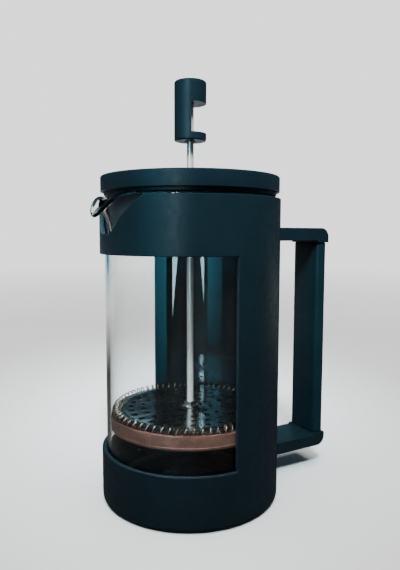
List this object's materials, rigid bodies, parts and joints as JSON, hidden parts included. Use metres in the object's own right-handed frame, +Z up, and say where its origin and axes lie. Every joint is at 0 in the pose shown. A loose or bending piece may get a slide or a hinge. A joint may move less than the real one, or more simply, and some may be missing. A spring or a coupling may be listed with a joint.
{
  "type": "french press",
  "caption": "Glass beaker in a dark plastic sleeve with a side handle, a flat turning lid and a plunger with a notched knob and a spring-edged mesh filter.",
  "frame": {"origin": "centre of the round non-slip pad's underside, on the beaker's axis, on the table", "axes": "+Z up along the rod, +X from the axis to the handle, -X to the spout, +Y completes a right-handed frame"},
  "size_m": [0.1593, 0.108, 0.2494],
  "materials": {
    "shell_plastic": "fine moulded grain, satin",
    "grip_plastic": "soft satin",
    "liner_plastic": "smooth satin",
    "bush_plastic": "smooth",
    "glass": "clear polished",
    "silicone": "matte",
    "pad_rubber": "matte",
    "rod_steel": "fine brushed along the rod",
    "plate_steel": "pressed, polished",
    "spring_steel": "bright drawn wire",
    "mesh_steel": "fine woven wire, coffee tinted",
    "nut_steel": "turned bright",
    "screw_steel": "plated",
    "brass": "turned"
  },
  "bodies": {
    "frame": {"sleeve": "shell_plastic", "handle": "shell_plastic", "grip": "grip_plastic", "handle_screws": "screw_steel", "base_cushion": "silicone", "non_slip_pad": "pad_rubber"},
    "carafe": {"beaker": "glass"},
    "guide": {"lid_bush": "bush_plastic", "bush_clip": "screw_steel"},
    "lid": {"lid_shell": "shell_plastic", "lid_liner": "liner_plastic"},
    "rod": {"plunger_rod": "rod_steel"},
    "plunger_head": {"knob": "shell_plastic", "knob_insert": "brass", "hub_nut": "nut_steel", "spiral_plate": "plate_steel", "edge_spring": "spring_steel", "mesh_screen": "mesh_steel", "cross_plate": "plate_steel", "threaded_boss": "brass"}
  },
  "joints": [
    {"name": "carafe_lift", "type": "slide", "parent": "frame", "child": "carafe", "axis": [0, 0, 1], "range_m": [0, 0.185]},
    {"name": "lid_lift", "type": "slide", "parent": "carafe", "child": "guide", "axis": [0, 0, 1], "range_m": [0, 0.15]},
    {"name": "lid_turn", "type": "hinge", "parent": "guide", "child": "lid", "pos_m": [0, 0, 0.188], "axis": [0, 0, 1], "continuous": true},
    {"name": "plunger_slide", "type": "slide", "parent": "guide", "child": "rod", "axis": [0, 0, 1], "range_m": [-0.02, 0.106]},
    {"name": "plunger_turn", "type": "hinge", "parent": "rod", "child": "plunger_head", "pos_m": [0, 0, 0.2], "axis": [0, 0, 1], "continuous": true}
  ]
}
